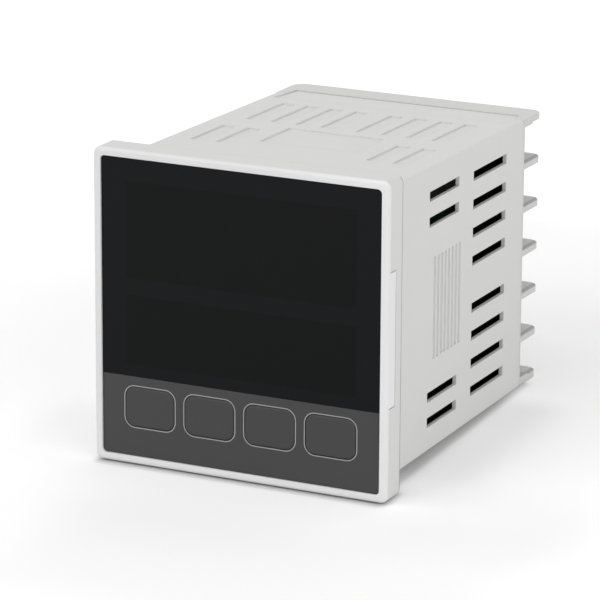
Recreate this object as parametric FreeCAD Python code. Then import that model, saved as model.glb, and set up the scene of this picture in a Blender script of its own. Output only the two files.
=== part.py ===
import FreeCAD, Part
import math
import os

# A square temperature controller that is fixed in a cut-out of a control panel.
# Millimetres. X runs to the right, Y from the face to the terminals, Z up.
# The origin is on the axis of the case, where the back of the flange meets the panel.

# Face and flange
face_size = 48.0
face_corner_radius = 1.1
flange_depth = 3.9
flange_back_thickness = 1.0
flange_wall = 0.8
seat_to_face = 4.25
rim_width = 1.2
rim_proud = 0.3
rim_edge_radius = 0.5
opening_corner_radius = 0.7
ledge_width = 1.5
cross_bar_height = 1.4
cross_bar_depth = 0.9
tab_height = 20.2
tab_centre_z = 0.4
tab_reach = 1.8
tab_clearance = 0.12
frame_clearance = 0.1

# Window and keypad
panel_thickness = 0.9
panel_clearance = 0.05
keypad_height = 12.35
key_count = 4
key_spacing = 1.6
key_side_margin = 3.8
key_top_margin = 1.52
key_bottom_margin = 4.53
key_corner_radius = 1.6
key_clearance = 0.1
key_proud = 0.15
key_edge_radius = 0.3
key_lip_width = 0.4
key_lip_thickness = 0.5
key_travel = 0.35

# Case
flange_lip = 2.13
body_taper = 0.0099
body_wall = 0.75
body_corner_radius = 0.6
body_foot_radius = 0.25
side_wall_end = 49.75
tongue_length = 3.25
tongue_side_margin = 1.91
tongue_slant = 0.41
tongue_gap = 0.12
tongue_sink = 0.25
tongue_field_length = 6.6

# Vents, the same distance from the seat on every wall
front_vents = (14.35, 25.15)
rear_vents = (30.55, 43.15)
side_vent_height = 1.51
side_front_rows = 2
side_front_margin = 4.54
side_front_pitch = 3.91
side_rear_rows = 4
side_rear_margin = 5.03
side_rear_inner_z = 3.67
top_mark_width = 2.2
top_mark_depth = 0.25
top_front_rows = 2
top_front_margin = 5.17
top_front_pitch = 4.2
top_rear_rows = 4
top_rear_margin = 6.27
top_rear_inner_x = 3.0

# Label place on the top and the bottom
label_half_width = 8.0
label_span = (17.9, 27.95)
label_depth = 0.25

# Ratchet teeth for the mounting bracket
tooth_count = 8
tooth_pitch = 1.31
first_tooth_y = 16.85
tooth_length = 0.85
tooth_depth = 0.25
tooth_half_height = 7.8

# Guide rails for the boards inside the case
rail_width = 1.0
rail_height = 1.5
rail_span = (6.0, 44.0)
rail_clearance = 0.1

# Terminal block
terminal_rows = 6
barrier_thickness = 0.9
block_head_depth = 7.85
block_corner_radius = 2.0
block_clearance = 0.1
plug_depth = 2.4
bay_floor_thickness = 0.65
contact_spine_gap = 2.1
spine_recess = 1.2
tongue_root_wall = 0.4

# Screw terminals
screw_from_board = 3.4
screw_length = 3.6
screw_head_margin = 0.065
screw_head_height = 2.0
screw_slot_width = 0.7
screw_slot_depth = 0.9
screw_slot_margin = 0.7
screw_hole_clearance = 0.2
thread_clearance = 0.05
terminal_side_gap = 0.4
washer_thickness = 0.7
screw_to_washer = 0.3
contact_inner_reach = 1.4
contact_outer_reach = 7.6
contact_thickness = 0.8
tail_thickness = 0.5
tail_width = 2.4
tail_overlap = 4.5

# Boards
board_thickness = 1.6
board_side_room = 11.87
board_margin = 0.35
board_rear_gap = 0.9
front_board_thickness = 1.0
front_board_y = 0.4
header_width = 2.5
header_depth = 2.6
header_height = 18.0

# Display
lcd_side_margin = 1.8
lcd_top_margin = 1.2
lcd_bottom_margin = 1.05
lcd_gap = 0.05
lcd_thickness = 1.8

# Key switches
switch_size = 6.0
switch_height = 2.5
plunger_radius = 1.25
plunger_clearance = 0.06
plunger_depth = 1.9
plunger_end_gap = 0.05

# Transformer on the power board
core_length = 16.0
core_top_gap = 4.4
core_depth = 6.0
core_limb = 1.5
core_leg = 5.0
core_window_length = 12.0
core_y = 17.0
core_z = -1.0
winding_overhang = 3.0
bobbin_thickness = 1.5

# Smaller parts on the boards. For each capacitor: its place along Y, its height above the
# lower edge of the board, its radius, and the room between its top and the other board
capacitor_places = ((36.0, 8.0, 5.0, 4.4), (28.0, 6.5, 2.5, 9.4))
relay_length = 15.0
relay_height = 10.5
relay_spacing = 3.0
relay_top_gap = 9.4
relay_y = 36.0
relay_edge_gap = 1.8
relay_count = 2
varistor_radius = 4.0
varistor_thickness = 3.0
varistor_y = 12.0
varistor_edge_gap = 2.5
varistor_lead_radius = 0.35
varistor_lead_length = 1.0
chip_size = (1.4, 10.0, 10.0)
chip_y = 17.0
coupler_size = (2.2, 6.5, 4.6)
coupler_y = 36.0
coupler_rows = (-12.0, 0.0, 12.0)

# Places that follow from the sizes above
V = FreeCAD.Vector
far = face_size
face_y = -seat_to_face
rim_y = face_y - rim_proud
seam_y = -flange_depth
panel_back_y = face_y + panel_thickness
pocket_floor_y = -flange_back_thickness
face_half = face_size / 2
opening_half = face_half - rim_width
pocket_half = face_half - flange_wall
frame_half = pocket_half - frame_clearance
ledge_half = opening_half - ledge_width
panel_half = opening_half - panel_clearance
band_z = keypad_height - opening_half
key_row_width = 2 * (opening_half - key_side_margin)
key_opening_width = (key_row_width - (key_count - 1) * key_spacing) / key_count
key_opening_height = keypad_height - key_top_margin - key_bottom_margin
key_centre_z = band_z - key_top_margin - key_opening_height / 2
key_back_y = panel_back_y + key_lip_thickness
front_board_back_y = front_board_y + front_board_thickness
tongue_end = side_wall_end + tongue_length
head_front_y = side_wall_end + block_clearance
block_end = head_front_y + block_head_depth
bay_floor_y = head_front_y + bay_floor_thickness
plug_front_y = head_front_y - plug_depth
contact_face_y = bay_floor_y + contact_thickness
washer_face_y = contact_face_y + washer_thickness
board_rear_y = plug_front_y - board_rear_gap
body_half_at_seat = face_half - flange_lip
board_x = body_half_at_seat - board_side_room
screw_x = board_x + screw_from_board
spine_half_width = board_x - contact_inner_reach - contact_spine_gap
signs = (-1, 1)
nearly_parallel = 0.99


def body_half(y, inset=0.0):
    """Half the width of the tapered body at y, less an inset from its surface."""
    return body_half_at_seat - body_taper * y - inset


# The barriers share the height of the block evenly, with one at its top and one at its bottom
head_half = body_half(side_wall_end, block_clearance)
terminal_pitch = (2 * head_half - barrier_thickness) / terminal_rows
bay_height = terminal_pitch - barrier_thickness
washer_size = bay_height - 2 * terminal_side_gap
screw_head_radius = washer_size / 2 - screw_head_margin
screw_radius = washer_size * screw_to_washer
tongue_half_at_root = body_half(side_wall_end, tongue_side_margin)
board_half = body_half(board_rear_y, body_wall + board_margin)
board_space = 2 * board_x - board_thickness


def span(a, b):
    """Two values as a low and a high end."""
    return (min(a, b), max(a, b))


def about(centre, size):
    """The low and high end of a size about its centre."""
    return (centre - size / 2, centre + size / 2)


def block(x, y, z):
    """A box from three pairs of ends."""
    corner = V(x[0], y[0], z[0])
    return Part.makeBox(x[1] - x[0], y[1] - y[0], z[1] - z[0], corner)


def edges_along(shape, axis):
    """The edges of a shape that run along one axis, or nearly so where a wall tapers."""
    found = []
    for edge in shape.Edges:
        run = edge.Vertexes[-1].Point - edge.Vertexes[0].Point
        if run.Length > 0 and abs(run.dot(axis)) > run.Length * nearly_parallel:
            found.append(edge)
    return found


def plate(x, y, z, radius):
    """A box whose four edges along Y are rounded."""
    box = block(x, y, z)
    return box.makeFillet(radius, edges_along(box, V(0, 1, 0)))


def rod(radius, start, direction, length):
    """A cylinder from its start along a direction."""
    return Part.makeCylinder(radius, length, start, direction)


def rod_to_rear(radius, x, y, z):
    """A cylinder along Y between the two ends of y."""
    return rod(radius, V(x, y[0], z), V(0, 1, 0), y[1] - y[0])


def prism(points, direction):
    """A flat outline pushed along a direction."""
    return Part.Face(Part.makePolygon(points + points[:1])).extrude(direction)


def rounded_along(shape, level, radius):
    """A shape with its edges along Y rounded, those above the middle or those below it."""
    edges = [edge for edge in edges_along(shape, V(0, 1, 0)) if level * edge.BoundBox.Center.z > 0]
    return shape.makeFillet(radius, edges)


def tapered_body(y, inset):
    """The body of the case between the ends of y, drawn in by an inset."""
    front, rear = (body_half(end, inset) for end in y)
    wedge = Part.makeWedge(-front, y[0], -front, -rear, -rear, front, y[1], front, rear, rear)
    return rounded_along(rounded_along(wedge, 1, body_corner_radius), -1, body_foot_radius)


def joined(shapes):
    """Several touching shapes as one."""
    return shapes[0].multiFuse(list(shapes[1:])).removeSplitter()


def save(name, *shapes):
    """Write one node, with one or more separate solids."""
    solids = [solid for shape in shapes for solid in shape.Solids]
    Part.makeCompound(solids).exportStep("parts/" + name + ".step")


def row_places(outer, pitch, rows):
    """Centres of slots that start at the outer one and run inwards, on both sides."""
    return [sign * (outer - pitch * row) for sign in signs for row in range(rows)]


def filled_row(outer, inner, rows):
    """The same for slots that are spread evenly between the outer and the inner one."""
    return row_places(outer, (outer - inner) / (rows - 1), rows)


def terminal_places():
    """The side and the height of every screw terminal."""
    heights = [(row - (terminal_rows - 1) / 2) * terminal_pitch for row in range(terminal_rows)]
    return [(side, z) for side in signs for z in heights]


def key_centres():
    """The place along X of every key."""
    pitch = key_opening_width + key_spacing
    return [(key - (key_count - 1) / 2) * pitch for key in range(key_count)]


# The light front frame with its two side tabs
def front_frame():
    outline = about(0, face_size)
    rim = plate(outline, (rim_y, seam_y), outline, face_corner_radius)
    front_edges = [edge for edge in rim.Edges if edge.BoundBox.YMax < rim_y + rim_edge_radius / 2]
    rim = rim.makeFillet(rim_edge_radius, front_edges)
    skirt = block(about(0, 2 * frame_half), (seam_y, pocket_floor_y), about(0, 2 * frame_half))
    tabs = []
    for side in signs:
        x = span(side * (frame_half - ledge_width / 2), side * face_half)
        tabs.append(block(x, (seam_y, seam_y + tab_reach), about(tab_centre_z, tab_height)))
    opening = about(0, 2 * opening_half)
    inside = about(0, 2 * ledge_half)
    recess = plate(opening, (rim_y - 1, panel_back_y), opening, opening_corner_radius)
    passage = plate(inside, (rim_y - 1, far), inside, opening_corner_radius)
    bar_y = (panel_back_y, panel_back_y + cross_bar_depth)
    bar = block(about(0, 2 * frame_half - ledge_width), bar_y, about(band_z, cross_bar_height))
    return joined([rim, skirt] + tabs).cut(recess).cut(passage).fuse(bar).removeSplitter()


# The face inside the rim, as one plate that the window and the keypad panel share
def face_plate():
    outline = about(0, 2 * panel_half)
    corner_radius = opening_corner_radius - panel_clearance
    return plate(outline, (face_y, panel_back_y), outline, corner_radius)


def display_window():
    upper = block((-far, far), (-far, far), (band_z + panel_clearance / 2, far))
    return face_plate().common(upper)


def keypad_panel():
    lower = block((-far, far), (-far, far), (-far, band_z - panel_clearance / 2))
    panel = face_plate().common(lower)
    for x in key_centres():
        panel = panel.cut(
            plate(
                about(x, key_opening_width),
                (face_y - 1, panel_back_y + 1),
                about(key_centre_z, key_opening_height),
                key_corner_radius,
            )
        )
    return panel


# A key cap, a little proud of the panel and held behind it by the lip round its back
def key_cap(x):
    width = key_opening_width - 2 * key_clearance
    height = key_opening_height - 2 * key_clearance
    radius = key_corner_radius - key_clearance
    front_y = face_y - key_proud
    cap = plate(about(x, width), (front_y, panel_back_y), about(key_centre_z, height), radius)
    front_edges = [edge for edge in cap.Edges if edge.BoundBox.YMax < front_y + key_edge_radius / 2]
    cap = cap.makeFillet(key_edge_radius, front_edges)
    lip_width = key_opening_width + 2 * key_lip_width
    lip_height = key_opening_height + 2 * key_lip_width
    lip = plate(
        about(x, lip_width),
        (panel_back_y, key_back_y),
        about(key_centre_z, lip_height),
        key_corner_radius + key_lip_width,
    )
    return cap.fuse(lip).removeSplitter()


def switch_plunger(x):
    return rod_to_rear(plunger_radius, x, (key_back_y, key_back_y + plunger_depth), key_centre_z)


def switch_body(x):
    y = (front_board_y - switch_height, front_board_y)
    body = block(about(x, switch_size), y, about(key_centre_z, switch_size))
    well_end = key_back_y + plunger_depth + key_travel + plunger_end_gap
    well = rod_to_rear(plunger_radius + plunger_clearance, x, (y[0] - 1, well_end), key_centre_z)
    return body.cut(well)


# The hollow flange that the front frame closes
def flange():
    outline = about(0, face_size)
    outside = plate(outline, (seam_y, 0), outline, face_corner_radius)
    pocket = block(about(0, 2 * pocket_half), (seam_y - 1, pocket_floor_y), about(0, 2 * pocket_half))
    notch_y = (seam_y - 1, seam_y + tab_reach + tab_clearance)
    notch = block((-far, far), notch_y, about(tab_centre_z, tab_height + 2 * tab_clearance))
    return outside.cut(pocket).cut(notch)


def tongue_half(y, clearance):
    """Half the width at y of the rear tongue, which narrows evenly towards its tip."""
    narrowing = tongue_slant * (y - side_wall_end) / tongue_length
    return tongue_half_at_root + clearance - narrowing


def tongue_outline(y, clearance, z):
    """The plan of the rear tongue between the ends of y, in the plane at z."""
    front, rear = (tongue_half(end, clearance) for end in y)
    return [V(-front, y[0], z), V(front, y[0], z), V(rear, y[1], z), V(-rear, y[1], z)]


# The four walls, with a tongue at the rear of the top and the bottom one
def body_walls():
    outside = tapered_body((pocket_floor_y, tongue_end), 0)
    before = block((-far, far), (-far, side_wall_end), (-far, far))
    tongues = prism(tongue_outline((side_wall_end, tongue_end), 0, -far), V(0, 0, 2 * far))
    return outside.common(before.fuse(tongues))


def body_hollow():
    return tapered_body((pocket_floor_y - 1, tongue_end + 1), body_wall)


def side_vents():
    front = row_places(body_half_at_seat - side_front_margin, side_front_pitch, side_front_rows)
    rear = filled_row(body_half_at_seat - side_rear_margin, side_rear_inner_z, side_rear_rows)
    cuts = [block((-far, far), front_vents, about(z, side_vent_height)) for z in front]
    return cuts + [block((-far, far), rear_vents, about(z, side_vent_height)) for z in rear]


def level_cutter(y, x, depth):
    """Cutters that sink a rectangle into the top and the bottom wall."""
    floor_front = body_half(y[0], depth)
    floor_rear = body_half(y[1], depth)
    cutters = []
    for level in signs:
        profile = [
            V(x[0], y[0], level * floor_front),
            V(x[0], y[1], level * floor_rear),
            V(x[0], y[1], level * far),
            V(x[0], y[0], level * far),
        ]
        cutters.append(prism(profile, V(x[1] - x[0], 0, 0)))
    return cutters


def top_marks():
    front = row_places(body_half_at_seat - top_front_margin, top_front_pitch, top_front_rows)
    rear = filled_row(body_half_at_seat - top_rear_margin, top_rear_inner_x, top_rear_rows)
    cuts = []
    for x in front:
        cuts += level_cutter(front_vents, about(x, top_mark_width), top_mark_depth)
    for x in rear:
        cuts += level_cutter(rear_vents, about(x, top_mark_width), top_mark_depth)
    return cuts + level_cutter(label_span, about(0, 2 * label_half_width), label_depth)


# The tongues lie in shallow fields, a little lower than the walls and the block beside them
def tongue_fields():
    y = (tongue_end - tongue_field_length, tongue_end + 1)
    field = prism(tongue_outline(y, 0, -far), V(0, 0, 2 * far))
    return [cutter.common(field) for cutter in level_cutter(y, about(0, 2 * far), tongue_sink)]


# Saw teeth: a slope that starts at the surface and ends at a steep wall that faces the panel
def ratchet_grooves():
    grooves = []
    for tooth in range(tooth_count):
        steep = first_tooth_y + tooth * tooth_pitch
        start = steep - tooth_length
        for side in signs:
            slope = (body_half(start), body_half(steep, tooth_depth), body_half(steep) + body_wall)
            bottom = -tooth_half_height
            profile = [
                V(side * slope[0], start, bottom),
                V(side * slope[1], steep, bottom),
                V(side * slope[2], steep, bottom),
                V(side * slope[2], start, bottom),
            ]
            grooves.append(prism(profile, V(0, 0, 2 * tooth_half_height)))
    return grooves


# Pairs of rails in the roof and the floor, which the two long boards slide between
def guide_rails():
    gap = board_thickness / 2 + rail_clearance
    rails = []
    for board in signs:
        for flank in signs:
            near = board * board_x + flank * gap
            x = span(near, near + flank * rail_width)
            for level in signs:
                foot = body_half(rail_span[0], body_wall / 2)
                tip = body_half(rail_span[1], body_wall + rail_height)
                rails.append(block(x, rail_span, span(level * tip, level * foot)))
    return rails


def case():
    cuts = [body_hollow()] + side_vents() + top_marks() + tongue_fields() + ratchet_grooves()
    shell = flange().fuse(body_walls()).cut(Part.makeCompound(cuts))
    rails = Part.makeCompound(guide_rails())
    kept = tapered_body(rail_span, body_wall / 2)
    return shell.fuse(rails.common(kept)).removeSplitter()


# The rear closure: a plug inside the case, a head behind it, and open bays between barriers
def terminal_block():
    plug_half = body_half(side_wall_end, body_wall + block_clearance)
    plug_y = (plug_front_y, head_front_y)
    plug = plate(about(0, 2 * plug_half), plug_y, about(0, 2 * plug_half), body_corner_radius)
    head = block(about(0, 2 * head_half), (head_front_y, block_end), about(0, 2 * head_half))
    upright_edges = edges_along(head, V(0, 0, 1))
    rear_edges = [edge for edge in upright_edges if edge.BoundBox.YMin > bay_floor_y]
    head = head.makeFillet(block_corner_radius, rear_edges)
    body = plug.fuse(head)

    root_y = tongue_end + tongue_gap + tongue_root_wall
    root_z = body_half(tongue_end, body_wall + block_clearance + tongue_root_wall)
    for side, z in terminal_places():
        x = span(side * spine_half_width, side * far)
        low = max(z - bay_height / 2, -root_z)
        high = min(z + bay_height / 2, root_z)
        body = body.cut(block(x, (bay_floor_y, root_y), (low, high)))
        body = body.cut(block(x, (root_y, far + block_end), about(z, bay_height)))
        body = body.cut(contact_slot(side, z))
        hole_y = (washer_face_y - screw_length - screw_hole_clearance, bay_floor_y)
        body = body.cut(rod_to_rear(screw_radius + screw_hole_clearance, side * screw_x, hole_y, z))

    room_y = (side_wall_end, tongue_end + tongue_gap)
    for level in signs:
        under = level * body_half(tongue_end, body_wall + block_clearance)
        room = prism(tongue_outline(room_y, tongue_gap, under), V(0, 0, level * far))
        body = body.cut(room)
    spine_z = about(0, terminal_pitch * terminal_rows - barrier_thickness)
    recess = block(about(0, 2 * spine_half_width), (block_end - spine_recess, far + block_end), spine_z)
    return body.cut(recess).removeSplitter()


def tail_span(side, clearance):
    """The ends along X of a contact's tail, which lies on the outer face of its board."""
    inner = board_x + board_thickness / 2 - clearance
    return span(side * inner, side * (inner + tail_thickness + 2 * clearance))


def contact_slot(side, z):
    y = (plug_front_y - 1, bay_floor_y + 1)
    return block(tail_span(side, block_clearance), y, about(z, tail_width + 2 * block_clearance))


def terminal_contact(side, z):
    x = span(side * (board_x - contact_inner_reach), side * (board_x + contact_outer_reach))
    pad = block(x, (bay_floor_y, contact_face_y), about(z, washer_size))
    tail_y = (board_rear_y - tail_overlap, bay_floor_y)
    tail = block(tail_span(side, 0), tail_y, about(z, tail_width))
    y = (bay_floor_y - 1, contact_face_y + 1)
    thread = rod_to_rear(screw_radius + thread_clearance, side * screw_x, y, z)
    return pad.cut(thread).fuse(tail).removeSplitter()


def terminal_washer(side, z):
    y = (contact_face_y, washer_face_y)
    washer = block(about(side * screw_x, washer_size), y, about(z, washer_size))
    hole = rod_to_rear(screw_radius + thread_clearance, side * screw_x, (y[0] - 1, y[1] + 1), z)
    return washer.cut(hole)


def terminal_screw(side, z):
    x = side * screw_x
    top_y = washer_face_y + screw_head_height
    head = rod_to_rear(screw_head_radius, x, (washer_face_y, top_y), z)
    shank = rod_to_rear(screw_radius, x, (washer_face_y - screw_length, washer_face_y), z)
    slot_y = (top_y - screw_slot_depth, top_y + 1)
    reach = 2 * (screw_head_radius - screw_slot_margin)
    upright = block(about(x, screw_slot_width), slot_y, about(z, reach))
    level = block(about(x, reach), slot_y, about(z, screw_slot_width))
    return head.fuse(shank).cut(upright).cut(level).removeSplitter()


def front_board():
    half = body_half(front_board_back_y, body_wall + board_margin)
    return block(about(0, 2 * half), (front_board_y, front_board_back_y), about(0, 2 * half))


def long_board(side):
    x = about(side * board_x, board_thickness)
    return block(x, (front_board_back_y, board_rear_y), about(0, 2 * board_half))


def board_header(side):
    inner = board_x - board_thickness / 2
    x = span(side * inner, side * (inner - header_width))
    y = (front_board_back_y, front_board_back_y + header_depth)
    return block(x, y, about(0, header_height))


def display_block(y):
    """A box of the display's outline, above the keypad and inside the ledge of the frame."""
    z = (band_z + lcd_bottom_margin, ledge_half - lcd_top_margin)
    return block(about(0, 2 * (ledge_half - lcd_side_margin)), y, z)


def lcd_glass():
    front = panel_back_y + lcd_gap
    return display_block((front, front + lcd_thickness))


def backlight():
    return display_block((panel_back_y + lcd_gap + lcd_thickness, front_board_y))


def on_main_board(reach, y, length, z, height):
    """A box on the main board: on its outer face, or on its inner face for a negative reach."""
    face = board_x + math.copysign(board_thickness / 2, reach)
    return block(span(face, face + reach), about(y, length), about(z, height))


# Power board parts stand on its inner face, towards the middle of the case
power_face = -board_x + board_thickness / 2
core_x = (power_face + bobbin_thickness, power_face + board_space - core_top_gap)
window_x = (core_x[0] + core_limb, core_x[1] - core_limb)


def core_leg_block():
    return block(window_x, about(core_y, core_leg), about(core_z, core_depth))


def transformer_core():
    outside = block(core_x, about(core_y, core_length), about(core_z, core_depth))
    window = block(window_x, about(core_y, core_window_length), about(core_z, core_depth + 2))
    return outside.cut(window).fuse(core_leg_block()).removeSplitter()


def transformer_winding():
    height = core_depth + 2 * winding_overhang
    outside = block(window_x, about(core_y, core_window_length), about(core_z, height))
    return outside.cut(core_leg_block())


def transformer_bobbin():
    height = core_depth + 2 * winding_overhang
    return block((power_face, core_x[0]), about(core_y, core_length), about(core_z, height))


def capacitors():
    cans = []
    for y, edge_gap, radius, top_gap in capacitor_places:
        foot = V(power_face, y, edge_gap - board_half)
        cans.append(rod(radius, foot, V(1, 0, 0), board_space - top_gap))
    return cans


def varistor():
    centre_x = power_face + varistor_lead_length + varistor_radius
    centre_z = board_half - varistor_edge_gap - varistor_radius
    disc = rod_to_rear(varistor_radius, centre_x, about(varistor_y, varistor_thickness), centre_z)
    leads = []
    for side in signs:
        foot = V(power_face, varistor_y, centre_z + side * varistor_radius / 2)
        leads.append(rod(varistor_lead_radius, foot, V(1, 0, 0), centre_x - power_face))
    return joined([disc] + leads)


def relays():
    top = board_half - relay_edge_gap - relay_height / 2
    pitch = relay_height + relay_spacing
    reach = relay_top_gap - board_space
    rows = [top - row * pitch for row in range(relay_count)]
    return [on_main_board(reach, relay_y, relay_length, z, relay_height) for z in rows]


def processor_chip():
    width, length, height = chip_size
    return on_main_board(width, chip_y, length, 0, height)


def optocouplers():
    width, length, height = coupler_size
    return [on_main_board(width, coupler_y, length, z, height) for z in coupler_rows]


os.makedirs("parts", exist_ok=True)
save("front_frame", front_frame())
save("display_window", display_window())
save("keypad_panel", keypad_panel())
for number, key_x in enumerate(key_centres(), 1):
    save("key_" + str(number), key_cap(key_x))
    save("switch_plunger_" + str(number), switch_plunger(key_x))
save("key_switch_bodies", *[switch_body(key_x) for key_x in key_centres()])
save("case", case())
save("terminal_block", terminal_block())
save("terminal_contacts", *[terminal_contact(side, z) for side, z in terminal_places()])
save("terminal_washers", *[terminal_washer(side, z) for side, z in terminal_places()])
save("terminal_screws", *[terminal_screw(side, z) for side, z in terminal_places()])
save("front_board", front_board())
save("main_board", long_board(1))
save("power_board", long_board(-1))
save("board_headers", board_header(-1), board_header(1))
save("lcd_glass", lcd_glass())
save("backlight", backlight())
save("transformer_core", transformer_core())
save("transformer_winding", transformer_winding())
save("transformer_bobbin", transformer_bobbin())
save("capacitors", *capacitors())
save("varistor", varistor())
save("relays", *relays())
save("processor_chip", processor_chip())
save("optocouplers", *optocouplers())
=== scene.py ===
import bpy
import math
from mathutils import Matrix, Vector


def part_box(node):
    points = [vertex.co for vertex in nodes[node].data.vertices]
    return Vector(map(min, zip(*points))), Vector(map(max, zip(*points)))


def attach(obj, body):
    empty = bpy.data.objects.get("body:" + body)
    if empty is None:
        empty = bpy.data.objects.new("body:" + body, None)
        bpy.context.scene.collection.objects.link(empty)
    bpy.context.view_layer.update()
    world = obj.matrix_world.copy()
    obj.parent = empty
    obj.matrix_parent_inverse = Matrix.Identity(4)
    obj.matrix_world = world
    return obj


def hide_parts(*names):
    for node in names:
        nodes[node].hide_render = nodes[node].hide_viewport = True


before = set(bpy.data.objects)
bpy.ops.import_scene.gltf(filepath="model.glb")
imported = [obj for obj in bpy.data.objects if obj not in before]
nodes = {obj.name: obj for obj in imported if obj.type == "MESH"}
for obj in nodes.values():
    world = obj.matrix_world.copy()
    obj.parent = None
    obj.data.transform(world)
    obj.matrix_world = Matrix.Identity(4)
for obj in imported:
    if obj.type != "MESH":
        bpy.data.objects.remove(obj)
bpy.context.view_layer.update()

# A panel mount temperature controller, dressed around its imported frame.
# Metres in the file, millimetres in the dictionaries.
mm = 0.001
print("frame loaded,", len(nodes), "nodes")


# Colours and nodes

def toLinear(hexColour):
    parts = [int(hexColour[i:i + 2], 16) / 255 for i in (1, 3, 5)]
    return [p / 12.92 if p <= 0.04045 else ((p + 0.055) / 1.055) ** 2.4 for p in parts] + [1.0]


# Settings are options of the node or inputs by label or number; links go from an output to an input
def addNode(tree, kind, settings={}, links={}):
    node = tree.nodes.new(kind)
    for name, value in settings.items():
        if isinstance(name, str) and hasattr(node, name):
            setattr(node, name, value)
        else:
            node.inputs[name].default_value = value
    for name, output in links.items():
        tree.links.new(output, node.inputs[name])
    return node


def newMaterial(name):
    material = bpy.data.materials.new(name)
    material.use_nodes = True
    material.node_tree.nodes.clear()
    return material


# One Math node: its linked inputs and its plain ones, each by number
def reckon(tree, operation, links, values={}):
    return addNode(tree, "ShaderNodeMath", {"operation": operation, **values}, links).outputs[0]


def multiply(tree, first, second):
    return reckon(tree, "MULTIPLY", {0: first, 1: second})


# Where a coordinate lies between two ends, in millimetres
def between(tree, output, ends):
    middle, half = sum(ends) / 2, (ends[1] - ends[0]) / 2
    return reckon(tree, "COMPARE", {0: output}, {1: middle * mm, 2: half * mm})


# Inputs of a Mix node that is set to colour
mixFactor, mixTones, mixResult = 0, (6, 7), 2


# From one tone to another, each a hex colour or the output of a node
def mixTone(tree, share, *tones):
    values, links = {"data_type": "RGBA"}, {mixFactor: share}
    for number, tone in zip(mixTones, tones):
        if isinstance(tone, str):
            values[number] = toLinear(tone)
        else:
            links[number] = tone
    return addNode(tree, "ShaderNodeMix", values, links).outputs[mixResult]


# The same in every surface: octaves of the noises, the span that the grain fills, edge samples, and
# what a plastic has where its look says nothing else
patchDetail, grainDetail, grainSpan, edgeSamples = 3.0, 2.0, (0.3, 0.7), 6
plainPlastic = {"metallic": 0.0, "ior": 1.5, "specular": 0.5}

# Painted shade: the case seen from inside is painted dark, up to a depth below its tapered walls,
# over a span of y from the seat. A band is a box in |x|, y and |z| with a tone of its own: here a
# fine painted shade line down the sides of the flange
caseInsideShade = {"halfAtSeat": 21.87, "taper": 0.0099, "depth": 0.62, "depthSpan": (-0.9, 49.2),
              "colour": "#0b0b0b",
              "bands": (((23.5, 25.0), (-0.17, 1.0), (0.0, 25.0), "#9b9b9b"),)}
# Painted shade: the block is painted dark only at the front of its plug, behind the vents. Its bays
# are painted a little darker than the rest of it as shade, with a deeper painted shade band along
# the outer edge of the barriers
blockInsideShade = dict(caseInsideShade, depthSpan=(47.0, 47.6),
                   bands=(((8.0, 20.3), (50.55, 58.0), (0.0, 20.4), "#cfcfce"),
                          ((20.3, 21.1), (50.55, 58.0), (0.0, 20.4), "#aeaead")))


# Painted shade: the shade bands, then the dark of the inside, over the surface's own tone
def caseTone(tree, place, tone, look):
    axes = addNode(tree, "ShaderNodeSeparateXYZ", {}, {"Vector": place})
    depth = axes.outputs["Y"]
    across = reckon(tree, "ABSOLUTE", {0: axes.outputs["X"]})
    upright = reckon(tree, "ABSOLUTE", {0: axes.outputs["Z"]})
    for acrossEnds, depthEnds, uprightEnds, colour in look["bands"]:
        inPlan = multiply(tree, between(tree, across, acrossEnds), between(tree, depth, depthEnds))
        inBand = multiply(tree, inPlan, between(tree, upright, uprightEnds))
        tone = mixTone(tree, inBand, tone, colour)
    reach = reckon(tree, "MAXIMUM", {0: across, 1: upright})
    straight = reckon(tree, "MULTIPLY_ADD", {0: depth, 2: reach}, {1: look["taper"]})
    skin = look["halfAtSeat"] - look["depth"]
    within = reckon(tree, "LESS_THAN", {0: straight}, {1: skin * mm})
    inside = multiply(tree, within, between(tree, depth, look["depthSpan"]))
    return mixTone(tree, inside, tone, look["colour"])


# Painted shade: a tone that deepens along one direction, over a span of places on it
def shadedTone(tree, place, tone, look):
    along = addNode(tree, "ShaderNodeVectorMath", {"operation": "DOT_PRODUCT", 1: look["towards"]},
                    {0: place})
    share = addNode(tree, "ShaderNodeMapRange",
                    {"From Min": look["span"][0] * mm, "From Max": look["span"][1] * mm},
                    {"Value": along.outputs["Value"]})
    return mixTone(tree, share.outputs["Result"], tone, look["colour"])
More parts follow.
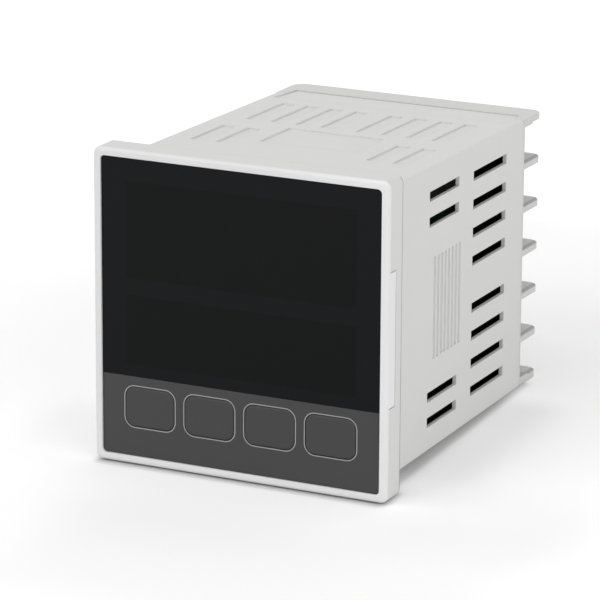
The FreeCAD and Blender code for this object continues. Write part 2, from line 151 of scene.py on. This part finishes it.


# Any surface here: two close colours in soft patches, a rough range, a grain and softened edges,
# and painted shade where its look asks for it. Patch, grain, relief and edge are in millimetres
def surface(name, look):
    look = {**plainPlastic, **look}
    material = newMaterial(name)
    tree = material.node_tree
    place = addNode(tree, "ShaderNodeTexCoord").outputs["Object"]
    patches = addNode(tree, "ShaderNodeTexNoise",
                      {"Scale": 1 / (look["patch"] * mm), "Detail": patchDetail}, {"Vector": place})
    grain = addNode(tree, "ShaderNodeTexNoise",
                    {"Scale": 1 / (look["grain"] * mm), "Detail": grainDetail}, {"Vector": place})
    tone = mixTone(tree, patches.outputs["Fac"], look["colour"], look["patchColour"])
    if "inside" in look:
        tone = caseTone(tree, place, tone, look["inside"])
    if "shade" in look:
        tone = shadedTone(tree, place, tone, look["shade"])
    rough = addNode(tree, "ShaderNodeMapRange",
                    {"From Min": grainSpan[0], "From Max": grainSpan[1],
                     "To Min": look["rough"][0], "To Max": look["rough"][1]},
                    {"Value": grain.outputs["Fac"]})
    edges = addNode(tree, "ShaderNodeBevel", {"samples": edgeSamples, "Radius": look["edge"] * mm})
    bump = addNode(tree, "ShaderNodeBump",
                   {"Strength": 1.0, "Distance": look["relief"] * mm},
                   {"Height": grain.outputs["Fac"], "Normal": edges.outputs["Normal"]})
    shader = addNode(tree, "ShaderNodeBsdfPrincipled",
                     {"Metallic": look["metallic"], "IOR": look["ior"],
                      "Specular IOR Level": look["specular"]},
                     {"Base Color": tone, "Roughness": rough.outputs["Result"],
                      "Normal": bump.outputs["Normal"]})
    addNode(tree, "ShaderNodeOutputMaterial", {}, {"Surface": shader.outputs["BSDF"]})
    return material


def dress(material, *names):
    for name in names:
        for slot in nodes[name].material_slots:
            slot.material = material


# ABS from a fine satin tool, a shade whiter than the case: even, clean highlights
# Its tone carries painted shade that deepens towards the frame's left side and top
satinAbs = surface("satinAbs", {
    "colour": "#ededed", "patchColour": "#ebebeb", "patch": 14, "grain": 0.12,
    "rough": (0.46, 0.54), "relief": 0.004, "edge": 0.2, "specular": 0.3,
    "shade": {"towards": (-1, 0, 0.8), "span": (-4, 14), "colour": "#e3e3e3"}})

# ABS from a spark eroded tool: the fine grain spreads the light, so the walls look flat and even
# Its inside and the sides of its flange carry painted shade
sparkTexturedAbs = surface("sparkTexturedAbs", {
    "colour": "#dcdcdb", "patchColour": "#dadad9", "patch": 16, "grain": 0.16,
    "rough": (0.55, 0.68), "relief": 0.006, "edge": 0.2, "inside": caseInsideShade})

# PBT of the terminal block: the same grey, a little smoother, with crisp thin barriers
# Its plug front, its bays and the outer edges of its barriers carry painted shade
mouldedPbt = surface("mouldedPbt", {
    "colour": "#d4d4d3", "patchColour": "#d1d1d0", "patch": 9, "grain": 0.14,
    "rough": (0.48, 0.6), "relief": 0.005, "edge": 0.2, "inside": blockInsideShade})

# Polyester film with a fine mat coat, printed dark grey from behind
matPolyesterFilm = surface("matPolyesterFilm", {
    "colour": "#434344", "patchColour": "#454546", "patch": 7, "grain": 0.15,
    "rough": (0.5, 0.6), "relief": 0.003, "edge": 0.12, "specular": 0.25})

# The key caps carry the same film over a cap, with a hair more gloss on top
keyFilm = surface("keyFilm", {
    "colour": "#414142", "patchColour": "#444445", "patch": 5, "grain": 0.15,
    "rough": (0.46, 0.56), "relief": 0.003, "edge": 0.18, "specular": 0.25})

# Screen ink of the key outlines, a flat light grey
greyInk = surface("greyInk", {
    "colour": "#a2a2a2", "patchColour": "#9c9c9c", "patch": 2, "grain": 0.1,
    "rough": (0.5, 0.6), "relief": 0.002, "edge": 0.02})

# Nylon of the small inner parts, black and dull
blackNylon = surface("blackNylon", {
    "colour": "#1d1d1e", "patchColour": "#222223", "patch": 3, "grain": 0.12,
    "rough": (0.5, 0.65), "relief": 0.005, "edge": 0.12})

# Nickel plate on steel: bright, with fine wear from the tool
nickelPlatedSteel = surface("nickelPlatedSteel", {
    "colour": "#c9c7c1", "patchColour": "#b4b2ac", "patch": 1.5, "grain": 0.2,
    "rough": (0.22, 0.4), "relief": 0.004, "edge": 0.12, "metallic": 1.0})

# Tinned brass: softer and paler than the screws
tinnedBrass = surface("tinnedBrass", {
    "colour": "#cfc7ad", "patchColour": "#bfb391", "patch": 2, "grain": 0.25,
    "rough": (0.3, 0.48), "relief": 0.004, "edge": 0.1, "metallic": 1.0})

# Epoxy glass board under green solder mask
solderMask = surface("solderMask", {
    "colour": "#12291a", "patchColour": "#163320", "patch": 1.2, "grain": 0.3,
    "rough": (0.28, 0.42), "relief": 0.006, "edge": 0.05})

# Sintered ferrite, a dark grey ceramic
sinteredFerrite = surface("sinteredFerrite", {
    "colour": "#343436", "patchColour": "#3c3c3e", "patch": 1, "grain": 0.15,
    "rough": (0.55, 0.75), "relief": 0.01, "edge": 0.15})

# Yellow polyester tape round the winding
windingTape = surface("windingTape", {
    "colour": "#c9a63b", "patchColour": "#b89430", "patch": 4, "grain": 0.5,
    "rough": (0.25, 0.4), "relief": 0.02, "edge": 0.3})

# Shrunk sleeve of the capacitors
capacitorSleeve = surface("capacitorSleeve", {
    "colour": "#23263a", "patchColour": "#292c42", "patch": 3, "grain": 0.4,
    "rough": (0.25, 0.38), "relief": 0.006, "edge": 0.5})

# Drawn aluminium of the capacitor cans: pale and softly bright
bareAluminium = surface("bareAluminium", {
    "colour": "#d3d4d6", "patchColour": "#c6c8ca", "patch": 2, "grain": 0.2,
    "rough": (0.28, 0.42), "relief": 0.004, "edge": 0.05, "metallic": 1.0})

# Solder that has flowed and set: bright, with slow waves
brightSolder = surface("brightSolder", {
    "colour": "#bfc0c2", "patchColour": "#aeb0b3", "patch": 1, "grain": 0.8,
    "rough": (0.16, 0.34), "relief": 0.02, "edge": 0.1, "metallic": 1.0})

# Blue epoxy dip of the varistor
epoxyDip = surface("epoxyDip", {
    "colour": "#2c5d9c", "patchColour": "#27538c", "patch": 2, "grain": 0.6,
    "rough": (0.2, 0.32), "relief": 0.03, "edge": 0.5})

# Dark blue relay covers
relayCover = surface("relayCover", {
    "colour": "#1c2b4e", "patchColour": "#1f3056", "patch": 5, "grain": 0.15,
    "rough": (0.3, 0.42), "relief": 0.004, "edge": 0.35})

# Glass of the display, switched off
displayGlass = surface("displayGlass", {
    "colour": "#2a2e30", "patchColour": "#2c3032", "patch": 12, "grain": 2,
    "rough": (0.06, 0.1), "relief": 0.001, "edge": 0.05})

# Milky acrylic light guide behind the glass
frostedAcrylic = surface("frostedAcrylic", {
    "colour": "#e6e8ea", "patchColour": "#dfe2e5", "patch": 10, "grain": 0.3,
    "rough": (0.3, 0.45), "relief": 0.003, "edge": 0.2})


# Smoked acrylic: nearly black, and so clear of haze that the display's two fields just show
smokedLook = {
    "colour": "#101113", "patchColour": "#0f1012", "fieldColour": "#0a0b0c", "patch": 18,
    "rough": 0.16, "ior": 1.49, "specular": 0.11, "edge": 0.1,
    "fieldAcross": (-18.8, 18.8), "upperField": (4.6, 19.3), "lowerField": (-8.6, 2.0)}


def smokedWindow(look):
    material = newMaterial("smokedAcrylic")
    tree = material.node_tree
    place = addNode(tree, "ShaderNodeTexCoord").outputs["Object"]
    axes = addNode(tree, "ShaderNodeSeparateXYZ", {}, {"Vector": place})
    patches = addNode(tree, "ShaderNodeTexNoise",
                      {"Scale": 1 / (look["patch"] * mm), "Detail": grainDetail}, {"Vector": place})
    across = between(tree, axes.outputs["X"], look["fieldAcross"])
    upper = between(tree, axes.outputs["Z"], look["upperField"])
    lower = between(tree, axes.outputs["Z"], look["lowerField"])
    either = reckon(tree, "MAXIMUM", {0: upper, 1: lower})
    smoke = mixTone(tree, patches.outputs["Fac"], look["colour"], look["patchColour"])
    tone = mixTone(tree, multiply(tree, either, across), smoke, look["fieldColour"])
    edges = addNode(tree, "ShaderNodeBevel", {"samples": edgeSamples, "Radius": look["edge"] * mm})
    shader = addNode(tree, "ShaderNodeBsdfPrincipled",
                     {"Roughness": look["rough"], "IOR": look["ior"],
                      "Specular IOR Level": look["specular"]},
                     {"Base Color": tone, "Normal": edges.outputs["Normal"]})
    addNode(tree, "ShaderNodeOutputMaterial", {}, {"Surface": shader.outputs["BSDF"]})
    return material


smokedAcrylic = smokedWindow(smokedLook)
keyNumbers = (1, 2, 3, 4)

dress(satinAbs, "front_frame")
dress(sparkTexturedAbs, "case")
dress(mouldedPbt, "terminal_block")
dress(smokedAcrylic, "display_window")
dress(matPolyesterFilm, "keypad_panel")
dress(keyFilm, *["key_" + str(number) for number in keyNumbers])
dress(blackNylon, *["switch_plunger_" + str(number) for number in keyNumbers])
dress(blackNylon, "key_switch_bodies", "board_headers", "transformer_bobbin", "processor_chip",
      "optocouplers")
dress(tinnedBrass, "terminal_contacts")
dress(nickelPlatedSteel, "terminal_washers", "terminal_screws")
dress(solderMask, "front_board", "main_board", "power_board")
dress(displayGlass, "lcd_glass")
dress(frostedAcrylic, "backlight")
dress(sinteredFerrite, "transformer_core")
dress(windingTape, "transformer_winding")
dress(capacitorSleeve, "capacitors")
dress(epoxyDip, "varistor")
dress(relayCover, "relays")
print("materials on the frame")


# Mesh helpers

def pick(*pieces):
    bpy.ops.object.select_all(action="DESELECT")
    bpy.context.view_layer.objects.active = pieces[0]
    for piece in pieces:
        piece.select_set(True)


# Names the object that Blender has just added
def startPiece(name):
    piece = bpy.context.object
    pick(piece)
    piece.name = name
    return piece


def bakePlace(piece):
    pick(piece)
    bpy.ops.object.transform_apply(location=True, rotation=True, scale=True)


def applyAll(piece):
    pick(piece)
    for modifier in list(piece.modifiers):
        bpy.ops.object.modifier_apply(modifier=modifier.name)


def copyPiece(piece, shift, name):
    twin = piece.copy()
    twin.data = piece.data.copy()
    twin.name = name
    twin.data.transform(Matrix.Translation(shift))
    bpy.context.scene.collection.objects.link(twin)
    return twin


def joinPieces(pieces, name):
    pick(*pieces)
    bpy.ops.object.join()
    pieces[0].name = name
    return pieces[0]


def finishPiece(piece, material, body):
    piece.data.materials.clear()
    piece.data.materials.append(material)
    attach(piece, body)


# The printed outline round each key, a thin line on the film beside the gap
outlineSizes = {"lip": 0.4, "radius": 1.6, "line": 0.16, "height": 0.015, "segments": 8}


def keyOutlines(size):
    outlines = []
    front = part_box("keypad_panel")[0].y
    for number in keyNumbers:
        low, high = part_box("key_" + str(number))
        middle = (low + high) / 2
        width = high.x - low.x - 2 * size["lip"] * mm + 2 * size["line"] * mm
        height = high.z - low.z - 2 * size["lip"] * mm + 2 * size["line"] * mm
        bpy.ops.mesh.primitive_plane_add(
            size=1, location=(middle.x, front, middle.z), rotation=(math.pi / 2, 0, 0))
        outline = startPiece("keyOutline" + str(number))
        outline.scale = (width, height, 1)
        bakePlace(outline)
        bpy.ops.object.mode_set(mode="EDIT")
        bpy.ops.mesh.select_all(action="SELECT")
        bpy.ops.mesh.bevel(offset=(size["radius"] + size["line"]) * mm, segments=size["segments"],
                           affect="VERTICES")
        bpy.ops.mesh.select_all(action="SELECT")
        bpy.ops.mesh.inset(thickness=size["line"] * mm)
        bpy.ops.mesh.delete(type="FACE")
        bpy.ops.object.mode_set(mode="OBJECT")
        solid = outline.modifiers.new("inkFilm", "SOLIDIFY")
        solid.thickness = size["height"] * mm
        solid.offset = 1
        applyAll(outline)
        outlines.append(outline)
    return joinPieces(outlines, "keyOutlines")


finishPiece(keyOutlines(outlineSizes), greyInk, "housing")
print("key outlines printed")


# Takes the shape of a cutter out of a piece, and the cutter out of the scene
def cutOut(cutter, piece):
    cut = piece.modifiers.new("cut", "BOOLEAN")
    cut.operation = "DIFFERENCE"
    cut.object = cutter
    applyAll(piece)
    bpy.data.objects.remove(cutter, do_unlink=True)


def boxPiece(name, size, centre):
    bpy.ops.mesh.primitive_cube_add(size=1, location=Vector(centre) * mm)
    piece = startPiece(name)
    piece.scale = Vector(size) * mm
    bakePlace(piece)
    return piece


rodShape = {"sides": 40, "softSegments": 4, "sharpAngle": 60}


# A rod along one axis, with softened ends where that is wanted
def rodPiece(name, radius, length, centre, turn, soft=0.0):
    bpy.ops.mesh.primitive_cylinder_add(
        vertices=rodShape["sides"], radius=radius * mm, depth=length * mm,
        location=Vector(centre) * mm, rotation=turn)
    piece = startPiece(name)
    bakePlace(piece)
    if soft:
        edge = piece.modifiers.new("softEnds", "BEVEL")
        edge.width = soft * mm
        edge.segments = rodShape["softSegments"]
        edge.limit_method = "ANGLE"
        edge.angle_limit = math.radians(rodShape["sharpAngle"])
        applyAll(piece)
    return piece


alongY = (math.pi / 2, 0, 0)
alongX = (0, math.pi / 2, 0)


# The low and high corner of a CAD node in millimetres
def boxOf(name):
    return [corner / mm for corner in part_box(name)]


# Terminal screws: pan heads with a cross slot, a rolled thread and a blunt tip
screwSizes = {"headRadius": 2.555, "headSoft": 0.75, "headSegments": 5, "rimReach": 0.1,
              "slotWidth": 0.7, "slotDepth": 0.95, "slotReach": 3.7, "slotAbove": 1.0,
              "shankRadius": 1.3, "shankInHead": 0.1, "tipSoft": 0.35,
              "threadRadius": 1.54, "threadPitch": 0.5, "threadTurns": 6.6, "stepsPerTurn": 20,
              "smoothAngle": 35}
terminalRows = 6
triangleHeight = 1.5  # of an even triangle, in radii of the circle round it


# The side and the height of each terminal, worked out from the CAD's screws
def terminalPlaces(size):
    high = boxOf("terminal_screws")[1]
    pitch = 2 * (high.z - size["headRadius"]) / (terminalRows - 1)
    return [(side * (high.x - size["headRadius"]), 0, (row - (terminalRows - 1) / 2) * pitch)
            for side in (-1, 1) for row in range(terminalRows)]


def terminalScrew(size):
    low, high = boxOf("terminal_screws")
    face = boxOf("terminal_washers")[1].y
    headHeight = high.y - face
    headMiddle = (0, (face + high.y) / 2, 0)
    head = rodPiece("screwHead", size["headRadius"], headHeight, headMiddle, alongY)
    bpy.ops.object.mode_set(mode="EDIT")
    bpy.ops.mesh.select_all(action="DESELECT")
    bpy.ops.object.mode_set(mode="OBJECT")
    for vertex in head.data.vertices:
        vertex.select = vertex.co.y > (high.y - size["rimReach"]) * mm
    bpy.ops.object.mode_set(mode="EDIT")
    bpy.ops.mesh.select_mode(type="EDGE")
    bpy.ops.mesh.bevel(offset=size["headSoft"] * mm, segments=size["headSegments"])
    bpy.ops.object.mode_set(mode="OBJECT")
    slotY = high.y + (size["slotAbove"] - size["slotDepth"]) / 2
    slotTall = size["slotDepth"] + size["slotAbove"]
    narrow, wide = size["slotWidth"], size["slotReach"]
    for width, height in ((narrow, wide), (wide, narrow)):
        cutOut(boxPiece("slot", (width, slotTall, height), (0, slotY, 0)), head)
    shankEnd = face + size["shankInHead"]
    shank = rodPiece("screwShank", size["shankRadius"], shankEnd - low.y,
                     (0, (shankEnd + low.y) / 2, 0), alongY, size["tipSoft"])
    ridge = (size["threadRadius"] - size["shankRadius"]) / triangleHeight
    bpy.ops.mesh.primitive_circle_add(
        vertices=3, radius=ridge * mm, rotation=(0, 0, -math.pi / 2),
        location=Vector((size["threadRadius"] - ridge, face - ridge, 0)) * mm)
    thread = startPiece("screwThread")
    bakePlace(thread)
    turning = thread.modifiers.new("turning", "SCREW")
    turning.axis = "Y"
    turning.angle = 2 * math.pi * size["threadTurns"]
    turning.screw_offset = -size["threadPitch"] * size["threadTurns"] * mm
    turning.steps = int(size["stepsPerTurn"] * size["threadTurns"])
    turning.render_steps = turning.steps
    turning.use_merge_vertices = True
    applyAll(thread)
    bpy.ops.object.mode_set(mode="EDIT")
    bpy.ops.mesh.select_all(action="SELECT")
    bpy.ops.mesh.fill_holes(sides=3)
    bpy.ops.mesh.select_all(action="SELECT")
    bpy.ops.mesh.normals_make_consistent(inside=False)
    bpy.ops.object.mode_set(mode="OBJECT")
    screw = joinPieces([head, shank, thread], "screw")
    bpy.ops.object.shade_smooth_by_angle(angle=math.radians(size["smoothAngle"]))
    return screw


def terminalScrews(size):
    first = terminalScrew(size)
    screws = [copyPiece(first, Vector(place) * mm, "screw") for place in terminalPlaces(size)]
    bpy.data.objects.remove(first, do_unlink=True)
    return joinPieces(screws, "panHeadScrews")


screws = terminalScrews(screwSizes)
finishPiece(screws, nickelPlatedSteel, "housing")
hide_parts("terminal_screws")
print("terminal screws driven")

# Bent legs, each a strip that is pulled out from its first length step by step
legSizes = {
    "chip": {"first": 0.5, "width": 0.3, "thickness": 0.13, "steps": ((0.15, -0.55), (0.55, 0.0)),
             "inBody": 0.3, "rise": 0.62, "pitch": 0.8, "count": 11},
    "coupler": {"first": 0.5, "width": 0.6, "thickness": 0.25, "steps": ((0.2, -0.9), (0.6, 0.0)),
                "inBody": 0.3, "rise": 1.03, "halfPitch": 1.27, "bodyHeight": 4.6},
}
bendSize = {"thicknessShare": 3, "segments": 2}


# The strip starts at the origin and runs along X, with its steps as (along X, along Z)
def bentStrip(name, size):
    bpy.ops.mesh.primitive_plane_add(size=1, location=(size["first"] / 2 * mm, 0, 0))
    strip = startPiece(name)
    strip.scale = (size["first"] * mm, size["width"] * mm, 1)
    bakePlace(strip)
    for vertex in strip.data.vertices:
        vertex.select = vertex.co.x > size["first"] / 2 * mm
    bpy.ops.object.mode_set(mode="EDIT")
    bpy.ops.mesh.select_mode(type="EDGE")
    for along, up in size["steps"]:
        bpy.ops.mesh.extrude_edges_move(
            TRANSFORM_OT_translate={"value": (along * mm, 0, up * mm)})
    bpy.ops.object.mode_set(mode="OBJECT")
    metal = strip.modifiers.new("metal", "SOLIDIFY")
    metal.thickness = size["thickness"] * mm
    metal.offset = 0
    metal.use_even_offset = True
    soft = strip.modifiers.new("bends", "BEVEL")
    soft.width = size["thickness"] / bendSize["thicknessShare"] * mm
    soft.segments = bendSize["segments"]
    applyAll(strip)
    return strip


# Turned copies of a strip: its own X becomes out, its own Z becomes lift
def placeStrip(strip, out, lift, place, name):
    twin = copyPiece(strip, Vector((0, 0, 0)), name)
    out, lift = Vector(out), Vector(lift)
    turn = Matrix((out, lift.cross(out), lift)).transposed().to_4x4()
    twin.data.transform(Matrix.Translation(Vector(place) * mm) @ turn)
    return twin


boardLift = (1, 0, 0)  # both kinds of chip stand on the outer face of the main board


def chipLegs(size):
    low, high = boxOf("processor_chip")
    middle = (low + high) / 2
    leg = bentStrip("chipLeg", size)
    legs = []
    for number in range(size["count"]):
        step = (number - (size["count"] - 1) / 2) * size["pitch"]
        for side in (-1, 1):
            x = low.x + size["rise"]
            y = middle.y + side * (high.y - middle.y - size["inBody"])
            z = middle.z + side * (high.z - middle.z - size["inBody"])
            for out, place in (((0, side, 0), (x, y, middle.z + step)),
                               ((0, 0, side), (x, middle.y + step, z))):
                legs.append(placeStrip(leg, out, boardLift, place, "chipLeg"))
    bpy.data.objects.remove(leg, do_unlink=True)
    return joinPieces(legs, "chipLegs")


def couplerLegs(size):
    low, high = boxOf("optocouplers")
    leg = bentStrip("couplerLeg", size)
    halfBody = size["bodyHeight"] / 2
    legs = []
    for row in (low.z + halfBody, (low.z + high.z) / 2, high.z - halfBody):
        for step in (-size["halfPitch"], size["halfPitch"]):
            for side, y in ((-1, low.y + size["inBody"]), (1, high.y - size["inBody"])):
                legs.append(placeStrip(leg, (0, side, 0), boardLift,
                                       (low.x + size["rise"], y, row + step), "couplerLeg"))
    bpy.data.objects.remove(leg, do_unlink=True)
    return joinPieces(legs, "couplerLegs")


# Bare aluminium of the can shows inside the rim of the sleeve, with three pressed vent grooves
canSizes = {"largeRadius": 5.0, "smallRadius": 2.5, "smallLength": 9.0, "smallUp": 6.5,
            "bare": 0.86, "height": 0.12, "soft": 0.04, "groove": 0.32, "grooveDepth": 0.07,
            "grooveReach": 1.4, "grooveTurns": (0, 60, 120)}


def canTops(size):
    low, high = boxOf("capacitors")
    boardFoot = boxOf("power_board")[0].z
    large, small = size["largeRadius"], size["smallRadius"]
    places = ((high.x, high.y - large, low.z + large, large),
              (low.x + size["smallLength"], low.y + small, boardFoot + size["smallUp"], small))
    tops = []
    for x, y, z, radius in places:
        top = rodPiece("canTop", radius * size["bare"], size["height"],
                       (x + size["height"] / 2, y, z), alongX, size["soft"])
        face = x + size["height"]
        for turn in size["grooveTurns"]:
            shape = (2 * size["grooveDepth"], size["grooveReach"] * radius, size["groove"])
            groove = boxPiece("groove", shape, (0, 0, 0))
            groove.data.transform(Matrix.Rotation(math.radians(turn), 4, "X"))
            groove.data.transform(Matrix.Translation(Vector((face, y, z)) * mm))
            cutOut(groove, top)
        tops.append(top)
    return joinPieces(tops, "canTops")


# Solder where the contacts' tails lie on their boards: a low smooth mound over each tail's end
solderSizes = {"radius": 1.25, "height": 0.55, "spread": (1.1, 0.9), "fromEnd": 0.35, "sink": 0.25,
               "segments": 24, "rings": 12}


def solderMounds(size):
    bpy.ops.mesh.primitive_uv_sphere_add(segments=size["segments"], ring_count=size["rings"],
                                         radius=size["radius"] * mm)
    mound = startPiece("mound")
    mound.scale = (size["height"] / size["radius"], *size["spread"])
    bakePlace(mound)
    bpy.ops.object.shade_smooth()
    boardFace = boxOf("main_board")[1].x + size["sink"]
    tailEnd = boxOf("terminal_contacts")[0].y + size["fromEnd"]
    mounds = [copyPiece(mound, Vector((math.copysign(boardFace, x), tailEnd, z)) * mm, "mound")
              for x, y, z in terminalPlaces(screwSizes)]
    bpy.data.objects.remove(mound, do_unlink=True)
    return joinPieces(mounds, "solderMounds")


finishPiece(canTops(canSizes), bareAluminium, "housing")
finishPiece(solderMounds(solderSizes), brightSolder, "housing")
finishPiece(chipLegs(legSizes["chip"]), tinnedBrass, "housing")
finishPiece(couplerLegs(legSizes["coupler"]), tinnedBrass, "housing")
print("chips stand on their legs")


# Floor, light and camera

# The unit rests on the lower edges of its flange and its terminal block, so the floor meets both.
# Each rectangle of the plan is its middle and its half size. The paper carries painted shadow where
# it meets the flange and the body. It glows a little for the eye, more far from the unit, and less
# in painted shades, each a rectangle with a depth and a fade: the uneven glow is painted shadow
floorLook = {"size": 6.0, "colour": "#f4f4f4", "fibreColour": "#f3f3f3", "fibreScale": 40.0,
             "flange": ((0.0, -2.1), (22.6, 2.1)), "contact": "#c4c4c4", "contactReach": 2.4,
             "body": ((0.0, 26.0), (21.3, 26.0)), "under": "#c4c4c4", "underShadowReach": 1.7,
             "unit": ((70.0, 10.0), (94.0, 60.0)), "glow": 0.22, "farGlow": 0.05,
             "farFade": (15.0, 120.0),
             "shades": (((22.0, 26.0), (5.0, 14.0), 0.1, 9.0),
                        ((41.0, -6.0), (6.0, 3.0), 0.11, 18.0),
                        ((17.0, -36.0), (27.0, 10.0), 0.06, 16.0),
                        ((-30.0, 3.0), (6.0, 8.0), 0.05, 10.0),
                        ((0.0, 108.0), (20.0, 20.0), 0.06, 15.0))}


# 1 for the rays by which the camera, gloss and glass see a surface, and 0 for the light it gives
def seenRays(tree):
    rays = addNode(tree, "ShaderNodeLightPath")
    total = rays.outputs["Is Camera Ray"]
    for kind in ("Is Glossy Ray", "Is Transmission Ray"):
        total = reckon(tree, "ADD", {0: total, 1: rays.outputs[kind]}, {"use_clamp": True})
    return total


# How far a place on the floor is from a rectangle of the plan
def distanceFrom(tree, place, rectangle):
    axes = addNode(tree, "ShaderNodeSeparateXYZ", {}, {"Vector": place})
    beyond = []
    for axis, middle, half in zip("XY", *rectangle):
        offset = reckon(tree, "SUBTRACT", {0: axes.outputs[axis]}, {1: middle * mm})
        past = reckon(tree, "SUBTRACT", {0: reckon(tree, "ABSOLUTE", {0: offset})}, {1: half * mm})
        beyond.append(reckon(tree, "MAXIMUM", {0: past}, {1: 0.0}))
    apart = addNode(tree, "ShaderNodeCombineXYZ", {}, {0: beyond[0], 1: beyond[1]})
    length = addNode(tree, "ShaderNodeVectorMath", {"operation": "LENGTH"}, {0: apart.outputs[0]})
    return length.outputs["Value"]


# A value that goes softly from one level to another over a span of distances, in millimetres
def fadeOver(tree, distance, span, levels):
    return addNode(tree, "ShaderNodeMapRange",
                   {"interpolation_type": "SMOOTHSTEP",
                    "From Min": span[0] * mm, "From Max": span[1] * mm,
                    "To Min": levels[0], "To Max": levels[1]},
                   {"Value": distance}).outputs["Result"]


def makeFloor(look):
    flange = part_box("case")[0].z
    low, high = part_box("terminal_block")
    tilt = math.atan2(low.z - flange, high.y)
    bpy.ops.mesh.primitive_plane_add(
        size=look["size"], location=(0, 0, flange), rotation=(tilt, 0, 0))
    floor = startPiece("studioFloor")
    bakePlace(floor)
    material = newMaterial("paperSweep")  # white paper, dull, so that it keeps the soft shadow
    tree = material.node_tree
    place = addNode(tree, "ShaderNodeTexCoord").outputs["Object"]
    fibre = addNode(tree, "ShaderNodeTexNoise",
                    {"Scale": look["fibreScale"], "Detail": grainDetail}, {"Vector": place})
    white = mixTone(tree, fibre.outputs["Fac"], look["colour"], look["fibreColour"])
    # Painted shadow: the paper darkens where it meets the flange and under the body
    fromFlange = distanceFrom(tree, place, look["flange"])
    contact = fadeOver(tree, fromFlange, (0, look["contactReach"]), (0, 1))
    fromBody = distanceFrom(tree, place, look["body"])
    under = fadeOver(tree, fromBody, (0, look["underShadowReach"]), (0, 1))
    tone = mixTone(tree, contact, look["contact"], mixTone(tree, under, look["under"], white))
    paper = addNode(tree, "ShaderNodeBsdfDiffuse", {}, {"Color": tone})
    # Painted shadow: the glow is less near the unit and in each shade rectangle, and none at the
    # flange
    fromUnit = distanceFrom(tree, place, look["unit"])
    glows = (look["glow"], look["glow"] + look["farGlow"])
    level = fadeOver(tree, fromUnit, look["farFade"], glows)
    for middle, half, depth, fade in look["shades"]:
        fromShade = distanceFrom(tree, place, (middle, half))
        shade = fadeOver(tree, fromShade, (0, fade), (depth, 0))
        level = reckon(tree, "SUBTRACT", {0: level, 1: shade})
    strength = multiply(tree, seenRays(tree), multiply(tree, level, contact))
    glow = addNode(tree, "ShaderNodeEmission", {"Color": (1, 1, 1, 1)}, {"Strength": strength})
    sweep = addNode(tree, "ShaderNodeAddShader", {}, {0: paper.outputs[0], 1: glow.outputs[0]})
    addNode(tree, "ShaderNodeOutputMaterial", {}, {"Surface": sweep.outputs[0]})
    floor.data.materials.append(material)


makeFloor(floorLook)

# Each lamp: direction from the object, distance and size in metres, and how bright it makes a white
# surface that faces it, where 1 is white. They aim at the middle of the unit. The sky gives less
# light than the eye sees in it
lamps = {
    "keySoftbox": {"towards": (-0.5, -0.55, 0.67), "distance": 1.6, "size": 1.3, "level": 0.38},
    "fillSoftbox": {"towards": (0.82, -0.42, 0.4), "distance": 1.8, "size": 1.5, "level": 0.32},
    "topSoftbox": {"towards": (0.05, 0.25, 0.97), "distance": 1.6, "size": 1.4, "level": 0.11},
}
lampAim = (0, 28, 0)
skyLook = {"light": 0.5, "seen": 1.0}


def makeLights():
    aim = Vector(lampAim) * mm
    for name, lamp in lamps.items():
        towards = Vector(lamp["towards"]).normalized()
        bpy.ops.object.light_add(type="AREA", location=aim + towards * lamp["distance"])
        light = startPiece(name)
        light.rotation_euler = towards.to_track_quat("Z", "Y").to_euler()
        light.data.shape = "SQUARE"
        light.data.size = lamp["size"]
        light.data.energy = lamp["level"] * (math.pi * lamp["distance"]) ** 2
    world = bpy.data.worlds.new("studioSky")
    world.use_nodes = True
    tree = world.node_tree
    tree.nodes.clear()
    strength = addNode(tree, "ShaderNodeMapRange",
                       {"To Min": skyLook["light"], "To Max": skyLook["seen"]},
                       {"Value": seenRays(tree)})
    sky = addNode(tree, "ShaderNodeBackground", {"Color": (1, 1, 1, 1)},
                  {"Strength": strength.outputs["Result"]})
    addNode(tree, "ShaderNodeOutputWorld", {}, {"Surface": sky.outputs[0]})
    bpy.context.scene.world = world


makeLights()

# Where the photograph was taken from: the place, the angles in degrees, with the heading counted to
# the left of +Y, and the lens for a frame of that width
photoView = {"place": (253.675, -500.449, 161.346), "heading": 26.173, "pitch": -15.804,
             "roll": 0.302, "lens": 239.22, "frame": 36.0}


def makeCamera(view):
    level = math.pi / 2  # a camera without turns looks straight down
    turn = (Matrix.Rotation(math.radians(view["heading"]), 4, "Z")
            @ Matrix.Rotation(level + math.radians(view["pitch"]), 4, "X")
            @ Matrix.Rotation(math.radians(view["roll"]), 4, "Z"))
    bpy.ops.object.camera_add()
    camera = startPiece("photoCamera")
    camera.matrix_world = Matrix.Translation(Vector(view["place"]) * mm) @ turn
    camera.data.sensor_fit = "HORIZONTAL"
    camera.data.sensor_width = view["frame"]
    camera.data.lens = view["lens"]
    bpy.context.scene.camera = camera


makeCamera(photoView)
bpy.context.scene.view_settings.view_transform = "Standard"
print("stage, lights and camera set")
